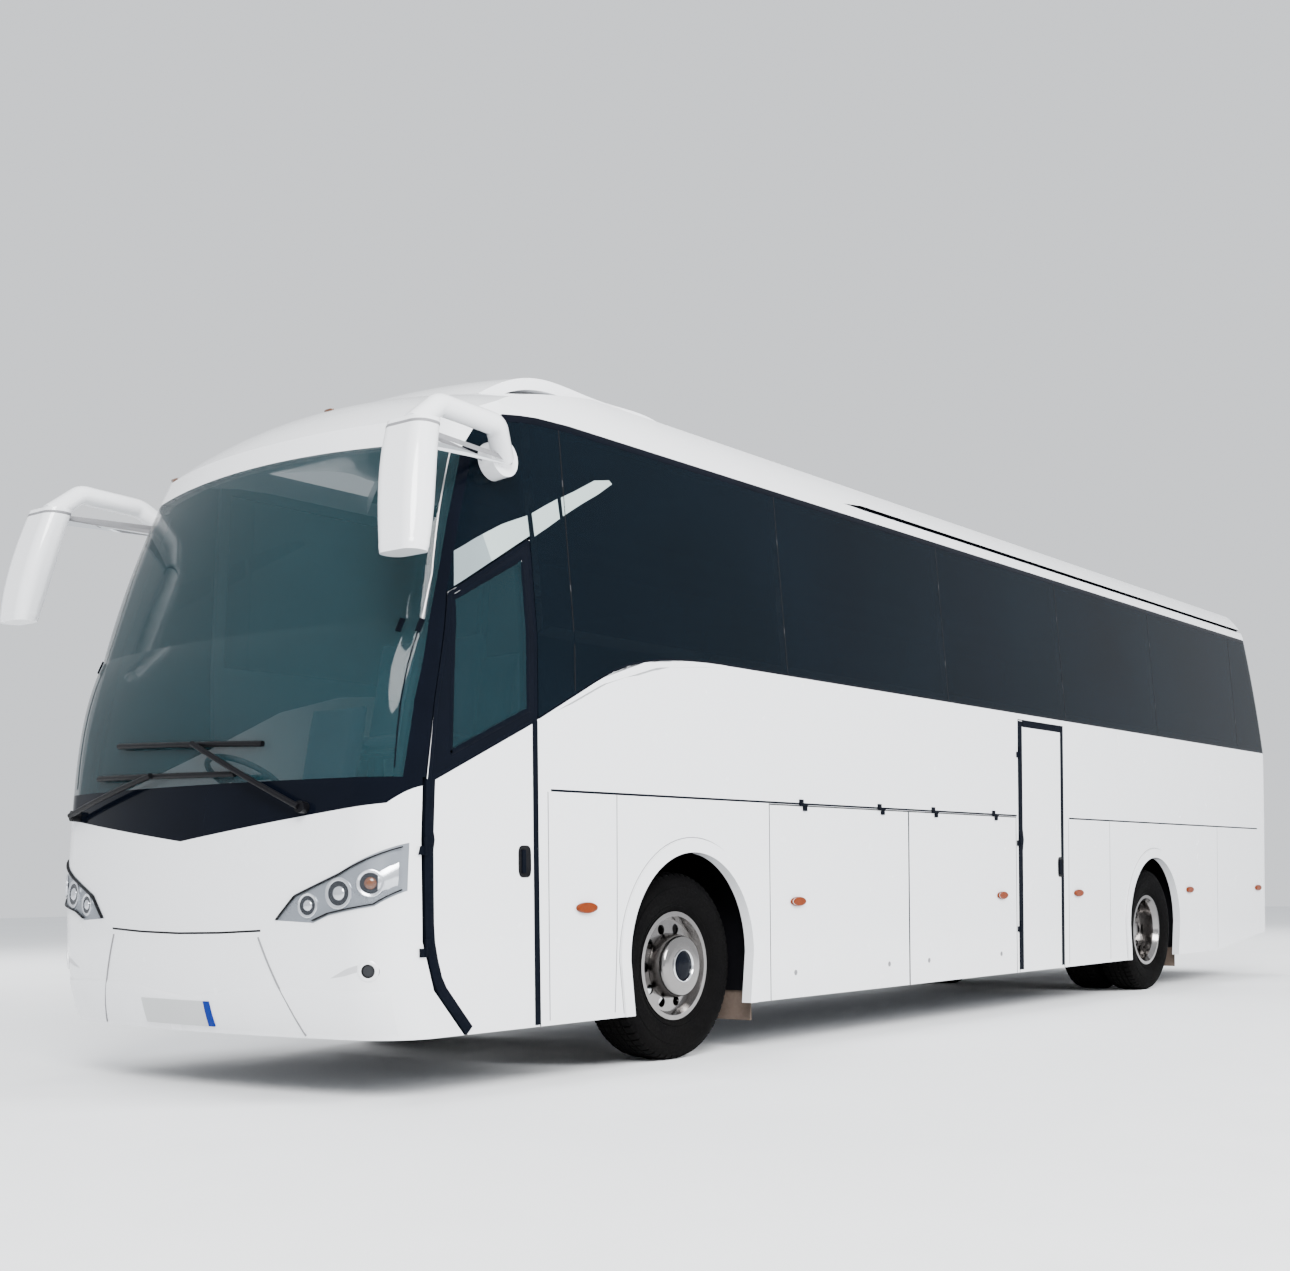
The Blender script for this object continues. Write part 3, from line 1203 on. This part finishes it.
# ---------------------------------------------------------------- wheels
@dataclass
class Tyres(Maker):
    """Road tyres with ribs, grooves and shoulder slots in place of the plain rings."""

    pitches: int = 60
    slot_depth: float = 0.008
    cuts: Line = ((0.0, 0.0), (0.74, 0.0), (0.78, 1.0), (0.96, 1.0))
    flat: Line = (
        (-0.107, 0.2995), (-0.118, 0.312), (-0.129, 0.33), (-0.1262, 0.3345), (-0.1345, 0.348),
        (-0.141, 0.372), (-0.145, 0.402), (-0.144, 0.43), (-0.14, 0.434), (-0.139, 0.456),
        (-0.133, 0.478), (-0.1255, 0.486),
    )
    half_tread: tuple[tuple[float, float, float], ...] = (
        (-0.118, 0.504, 1.0), (-0.099, 0.5125, 1.0), (-0.076, 0.514, 1.0), (-0.074, 0.5145, 0.2),
        (-0.07, 0.501, 0.0), (-0.064, 0.501, 0.0), (-0.06, 0.5148, 0.4), (-0.029, 0.515, 0.4),
        (-0.025, 0.501, 0.0), (-0.019, 0.501, 0.0), (-0.015, 0.515, 0.3),
    )
    wheels: tuple[tuple[str, str, float, tuple[float, ...]], ...] = (
        ("tyre_front_left", "front_wheel_left", 0.0, (1.03,)),
        ("tyre_front_right", "front_wheel_right", 0.0, (-1.03,)),
        ("tyres_rear_left", "rear_wheels_left", -WHEELBASE, (1.085, 0.74)),
        ("tyres_rear_right", "rear_wheels_right", -WHEELBASE, (-1.085, -0.74)),
    )

    def build(self) -> None:
        """Build every tyre."""
        for node, body, distance, places in self.wheels:
            rubber = Shape()
            for y in places:
                self._ring(rubber, Vector((ahead(distance), y, WHEEL_Z)))
            piece = self.make(f"road_{node}", rubber, TYRE, body, "tyre_rubber")
            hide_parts(node)

    def _ring(self, rubber: Shape, centre: Vector) -> None:
        """Append one tyre.

        Args:
            rubber: the shape that takes it.
            centre: the tyre's centre.
        """
        left = [*((y, r, 0.0) for y, r in self.flat), *self.half_tread]
        outline = [*left, *((-y, r, weight) for y, r, weight in reversed(left))]
        rows = []
        for pitch in range(self.pitches):
            for share, cut in self.cuts:
                angle = math.tau * (pitch + share) / self.pitches
                out = Vector((math.cos(angle), 0, math.sin(angle)))
                rows.append([centre + CROSSWAYS * y + out * (r - self.slot_depth * cut * weight)
                             for y, r, weight in outline])
        rubber.grid(rows, looped=True)


@dataclass
class WheelFittings(Maker):
    """The bright cover, ring and cap of each front wheel, and each rear wheel's nuts and cap."""

    nuts: int = 10
    nut_ring: float = 0.146
    front_face: float = 1.104
    rear_faces: Point2 = (1.039, 1.084)
    cover: Line = (
        (CORE, 0.178), (0.004, 0.18), (0.02, 0.179), (0.06, 0.172), (0.084, 0.166), (0.092, 0.16),
        (0.095, 0.15), (0.097, 0.12), (0.098, 0.092), (0.098, 0.088), (0.085, 0.088), (0.085, 0.1),
        (0.085, 0.15), (0.055, 0.165), (CORE, 0.17),
    )
    ring: Line = (
        (0.086, 0.092), (0.099, 0.092), (0.105, 0.089), (0.106, 0.085), (0.101, 0.081), (0.092, 0.079),
        (0.086, 0.079),
    )
    front_cap: Line = (
        (0.086, CORE), (0.086, 0.0785), (0.094, 0.0785), (0.097, 0.07), (0.099, 0.04), (0.0995, CORE),
    )
    rear_cap: Line = (
        (-0.004, CORE), (-0.004, 0.072), (0.004, 0.072), (0.012, 0.066), (0.018, 0.052), (0.021, 0.03),
        (0.022, CORE),
    )
    nut: Line = (
        (-0.002, CORE), (-0.002, 0.0215), (0.004, 0.0215), (0.005, 0.0175), (0.021, 0.017), (0.024, 0.013),
        (0.024, CORE),
    )
    stud: Line = ((0.02, CORE), (0.02, 0.0095), (0.033, 0.0095), (0.035, 0.0075), (0.035, CORE))

    def build(self) -> None:
        """Build the fittings of both sides."""
        for way, label in SIDES:
            axis = CROSSWAYS * way
            face, hub = self.rear_faces
            nuts = Shape()
            for index in range(self.nuts):
                angle = math.tau * (index + 0.5) / self.nuts
                spot = Vector((ahead(-WHEELBASE) + self.nut_ring * math.cos(angle), way * face,
                               WHEEL_Z + self.nut_ring * math.sin(angle)))
                nuts.turned(self.nut, (spot, axis), 6)
                nuts.turned(self.stud, (spot, axis), 14)
            front = Vector((ahead(0.0), way * self.front_face, WHEEL_Z)), axis
            rear = Vector((ahead(-WHEELBASE), way * hub, WHEEL_Z)), axis
            for wheel, name, outline, hit, steps, finish in (
                ("front_wheel", "cover", self.cover, front, 64, ALLOY),
                ("front_wheel", "ring", self.ring, front, 64, CHROME),
                ("front_wheel", "cap", self.front_cap, front, 48, BLACK_GLOSS),
                ("rear_wheels", "nuts", (), rear, 0, NUT_STEEL),
                ("rear_wheels", "cap", self.rear_cap, rear, 48, NUT_STEEL),
            ):
                shape = Shape() if outline else nuts
                if outline:
                    shape.turned(outline, hit, steps)
                body = f"{wheel}_{label}"
                self.make(f"{body}_{name}", shape, finish, body, "polished_rim")


# ---------------------------------------------------------------- seats
@dataclass(frozen=True)
class Padding:
    """How thick an upholstered pad is, with sewn channels across it, side bolsters and a roll."""

    thick: float
    corners: int
    edge: float
    sewn: tuple[float, ...]
    sewn_depth: float
    sewn_width: float
    bolster: Point2
    roll: float = 0.0
    roll_at: float = 0.72
    roll_width: float = 0.16
    side_corners: int = 5
    bolster_power: int = 6

    def height(self, u: float, v: float) -> float:
        """The pad's half thickness.

        Args:
            u: from -1 to 1 along the pad.
            v: from -1 to 1 across it.

        Returns:
            The half thickness.
        """
        face = max(0.0, (1 - abs(u) ** self.corners) * (1 - abs(v) ** self.side_corners)) ** self.edge
        folds = sum(math.exp(-((u - place) / self.sewn_width) ** 2) for place in self.sewn)
        sew = 1 - self.sewn_depth * folds
        swell, start = self.bolster
        bolster = 1 - swell + swell * min(1.0, (abs(v) / start) ** self.bolster_power)
        roll = self.roll * math.exp(-((u - self.roll_at) / self.roll_width) ** 2)
        return self.thick * face * min(1.0, sew * (bolster + roll))


@dataclass
class SeatForm:
    """One upholstered seat: cushion, tall back with side bolsters, and headrest.

    All sizes are from the row's place: forward, across and above the floor.
    """

    width: float = 0.44
    cushion_x: Point2 = (-0.005, 0.475)
    cushion_z: Point2 = (0.345, 0.455)
    cushion_drop: float = 0.01
    back_foot: Point2 = (0.01, 0.42)
    back_head: Point2 = (-0.128, 1.07)
    cushion: Padding = Padding(0.055, 5, 0.42, (0.3, -0.34), 0.2, 0.035, (0.12, 0.78))
    back: Padding = Padding(0.049, 6, 0.4, (-0.35, 0.05, 0.45), 0.17, 0.028, (0.2, 0.76), 0.12)
    columns: int = 24
    rows: int = 22
    drawn_in: Point2 = (0.02, 0.03)
    pan: tuple[Vector, Vector] = (Vector((0.02, -0.205, 0.335)), Vector((0.45, 0.205, 0.352)))
    leg: tuple[Vector, Vector] = (Vector((0.12, -0.03, 0.0)), Vector((0.2, 0.03, 0.34)))

    def upholster(self, pads: Shape, origin: Vector) -> None:
        """Append a seat's cushion and back.

        Args:
            pads: the shape that takes them.
            origin: the seat's place.
        """
        (rear, front), (low, high) = self.cushion_x, self.cushion_z
        centre = origin + Vector(((rear + front) / 2, 0, (low + high) / 2))
        self._pillow(pads, centre, Vector(((front - rear) / 2, 0, -self.cushion_drop)), UPWARDS, self.cushion)
        foot = origin + Vector((self.back_foot[0], 0, self.back_foot[1]))
        head = origin + Vector((self.back_head[0], 0, self.back_head[1]))
        up = (head - foot) / 2
        self._pillow(pads, (foot + head) / 2, up, Vector((up.z, 0, -up.x)).normalized(), self.back)

    def stand(self, legs: Shape, origin: Vector) -> None:
        """Append a seat's pan and leg under its cushion."""
        for low, high in (self.pan, self.leg):
            legs.box(origin + low, origin + high)

    def _pillow(self, pads: Shape, centre: Vector, half_u: Vector, out: Vector, pad: Padding) -> None:
        """Append a closed pillow form.

        Args:
            pads: the shape that takes it.
            centre: its middle.
            half_u: half its length, as a vector.
            out: the way its face looks.
            pad: how thick it is.
        """
        half_v = CROSSWAYS * (self.width / 2)
        sides = (self.rows, self.columns)
        us, vs = ([-math.cos(math.pi * i / count) for i in range(count + 1)] for count in sides)

        def spot(u: float, v: float, side: int) -> Vector:
            """A point on the pillow's face or back, drawn in a little between the corners."""
            draw_u, draw_v = self.drawn_in
            pull_u, pull_v = 1 - draw_u * (1 - v * v) * abs(u), 1 - draw_v * (1 - u * u) * abs(v)
            return centre + half_u * u * pull_u + half_v * v * pull_v + out * pad.height(u, v) * side

        wide = self.columns + 1
        base = len(us) * wide
        faces = []
        for r in range(self.rows):
            for c in range(self.columns):
                a, b, d, e = r * wide + c, r * wide + c + 1, (r + 1) * wide + c + 1, (r + 1) * wide + c
                faces += [(a, b, d, e), (base + e, base + d, base + b, base + a)]
        pads.add([spot(u, v, side) for side in (1, -1) for u in us for v in vs], faces)


@dataclass
class Seats(Maker):
    """All the coach's seats: upholstery, pans and legs."""

    pitch: float = 0.79
    first: float = 0.06
    rows: int = 12
    side_y: float = 0.76
    seat_width: float = 0.45
    floor: float = 1.424
    stair: Point2 = (-5.325, -3.865)
    driver: tuple[float, float, float] = (0.96, -0.62, 0.92)
    fill: float = 0.75
    form: SeatForm = field(default_factory=SeatForm)

    def places(self, way: int) -> list[Vector]:
        """Where each seat of one side stands.

        Args:
            way: left (1) or right (-1).

        Returns:
            The seats' places, two a row, with none over the middle stairs.
        """
        starts = [self.first - row * self.pitch for row in range(self.rows)]
        return [
            Vector((ahead(start), way * self.side_y + half * self.seat_width, self.floor))
            for start in starts if way < 0 or not self.stair[0] < start < self.stair[1] for half in (-0.5, 0.5)
        ]

    def build(self) -> None:
        """Build the seats of both sides and the driver's seat."""
        left = self._group(self.places(1), "upholstery_left", "seat_legs_left")
        self._group(self.places(-1), "upholstery_right", "seat_legs_right")
        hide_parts("passenger_seats")
        spot = Vector((ahead(self.driver[0]), *self.driver[1:]))
        driver = self._group([spot], "driver_upholstery", "driver_seat_legs")
        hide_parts("driver_seat")

    def _group(self, spots: list[Vector], name: str, legs_name: str) -> bpy.types.Object:
        """Build the seats at some places as one piece of upholstery and one of legs.

        Args:
            spots: the seats' places.
            name: the upholstery's name.
            legs_name: the legs' name.

        Returns:
            The upholstery.
        """
        pads, legs = Shape(), Shape()
        for spot in spots:
            self.form.upholster(pads, spot)
            self.form.stand(legs, spot)
        upholstery = self.make(name, pads, FABRIC, slot="seat_fabric")
        self.make(legs_name, legs, TRIM_GREY)
        return upholstery


# ---------------------------------------------------------------- scene
@dataclass
class Studio:
    """Plain pale floor, soft lights and the camera."""

    eye: tuple[float, float, float] = (11.105, 6.7, 0.991)
    yaw: float = 127.92
    roll: float = 0.555
    lens: float = 46.91
    rise: float = 0.189
    ground: float = 40.0
    air: Colour = (0.9, 0.93, 0.97)
    air_strength: float = 1.15
    lights: tuple[tuple[str, Colour, Colour, float, float], ...] = (
        ("key_light", (14.0, 10.0, 11.0), (1.0, 0.0, 1.5), 9.0, 5200.0),
        ("side_light", (-3.0, 15.0, 10.0), (-1.0, 0.0, 1.5), 10.0, 4300.0),
        ("rear_light", (-14.0, -8.0, 9.0), (-3.0, 0.0, 1.5), 8.0, 2100.0),
        ("far_light", (3.0, -14.0, 8.0), (0.0, 0.0, 1.5), 10.0, 1700.0),
    )

    def build(self) -> None:
        """Add the floor, the air, the lights and the camera."""
        size = self.ground
        mesh = bpy.data.meshes.new("studio_floor")
        corners = [(-size, -size, 0), (size, -size, 0), (size, size, 0), (-size, size, 0)]
        mesh.from_pydata(corners, [], [(0, 1, 2, 3)])
        pale = Finish("studio_floor", (0.8, 0.81, 0.82), 0.8, drift=0.03, drift_scale=0.5)
        mesh.materials.append(pale.material())
        floor = self._placed("studio_floor", mesh)
        world = bpy.data.worlds.new("studio_air")
        world.use_nodes = True
        background = world.node_tree.nodes["Background"]
        background.inputs["Color"].default_value = (*self.air, 1)
        background.inputs["Strength"].default_value = self.air_strength
        bpy.context.scene.world = world
        holders = []
        for name, spot, aim, size, power in self.lights:
            light = bpy.data.lights.new(name, "AREA")
            light.shape = "DISK"
            light.size = size
            light.energy = power
            holder = self._placed(name, light)
            holder.location = spot
            holder.rotation_euler = (Vector(aim) - Vector(spot)).to_track_quat("-Z", "Y").to_euler()
            holder.visible_glossy = name == "key_light"
            holders.append(holder)
        lens = bpy.data.cameras.new("camera")
        lens.lens = self.lens
        lens.sensor_width = 36.0
        lens.shift_y = self.rise
        lens.clip_end = 200.0
        camera = self._placed("camera", lens)
        camera.location = self.eye
        camera.rotation_euler = (math.radians(90), math.radians(self.roll), math.radians(self.yaw))
        bpy.context.scene.camera = camera
        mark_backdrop(floor, camera, *holders)

    @staticmethod
    def _placed(name: str, data: bpy.types.ID) -> bpy.types.Object:
        """A new object in the scene.

        Args:
            name: its name.
            data: its mesh, light or camera.

        Returns:
            The object.
        """
        placed = bpy.data.objects.new(name, data)
        bpy.context.scene.collection.objects.link(placed)
        return placed


@dataclass
class BareFaces:
    """Which faces of the painted CAD nodes are dark: hinges, panel gaps and the roof's air slot."""

    skin_y: float = 1.2765
    inner_y: float = 1.18
    edge_tilt: float = 0.35
    belt: Point2 = (1.375, 1.475)
    door_axes: tuple[float, ...] = (2.04, -4.051)
    axis_reach: float = 0.05
    mask_tilt: float = -0.8
    mask_rear: float = 2.1
    arch_reach: float = 0.67
    arch_top: float = 1.22
    slot_z: Point2 = (3.367, 3.403)
    slot_x: Point2 = (-9.655, -1.835)
    walls: tuple[str, ...] = (
        "side_wall_left", "side_wall_right", "side_glass_left", "side_glass_right", "door_front", "door_mid",
        *FLAP_NODES,
    )
    coves: tuple[str, ...] = ("roof_cove_left", "roof_cove_right")

    def dark(self, name: str, centre: Vector, normal: Vector) -> bool:
        """Whether one face is dark.

        Args:
            name: the face's node.
            centre: the face's middle.
            normal: the way it looks.

        Returns:
            True where it lies on a hinge, in a gap or in the slot.
        """
        x, y, z = centre.x - FRONT_AXLE_X, abs(centre.y), centre.z
        if name in self.coves:
            return self.slot_z[0] < z < self.slot_z[1] and self.slot_x[0] < x < self.slot_x[1]
        at_axis = any(abs(x - axis) < self.axis_reach for axis in self.door_axes)
        hinge = y > self.skin_y and (self.belt[0] < z < self.belt[1] or at_axis)
        if name == "front_mask":
            return hinge or (normal.x < self.mask_tilt and y > self.inner_y and x < self.mask_rear)
        arch = min(abs(x), abs(centre.x - REAR_AXLE_X)) < self.arch_reach and z < self.arch_top
        gap = name in self.walls and abs(normal.y) < self.edge_tilt and y > self.inner_y and not arch
        return hinge or gap

    def dress(self) -> None:
        """Give every CAD node its finish, with hinges, gaps and the air slot dark."""
        for name, node in frame["nodes"].items():
            mesh = node.data
            mesh.materials.clear()
            mesh.materials.append(NODE_FINISHES[name].material())
            if name in (*self.walls, *self.coves, "front_mask"):
                mesh.materials.append(SEAL.material())
                for face in mesh.polygons:
                    face.material_index = int(self.dark(name, face.center, face.normal))


def save_sizes(name: str, sizes: dict[str, list[list[float]]]) -> None:
    """Args:
        name: the name they are kept under.
        sizes: the bounds kept so far.
    """
    sizes[name] = [list(corner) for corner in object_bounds()]


def main() -> None:
    """Dress the coach and finish the scene."""
    logging.basicConfig(level=logging.INFO, format="%(name)s: %(message)s")
    sizes: dict[str, list[list[float]]] = {}
    save_sizes("frame", sizes)
    BareFaces().dress()
    for maker in (DoorSeals(), PanelLines(), Flowing(), GlassTrim(), NoseTrim(), LampDetail(), Handles(),
                  MirrorDetail(), TailDetail(), Tyres(), WheelFittings(), Seats()):
        maker.build()
        LOG.info("%s: %d pieces", type(maker).__name__, len(maker.pieces))
    Studio().build()
    save_sizes("dressed", sizes)


if __name__ == "__main__":
    main()
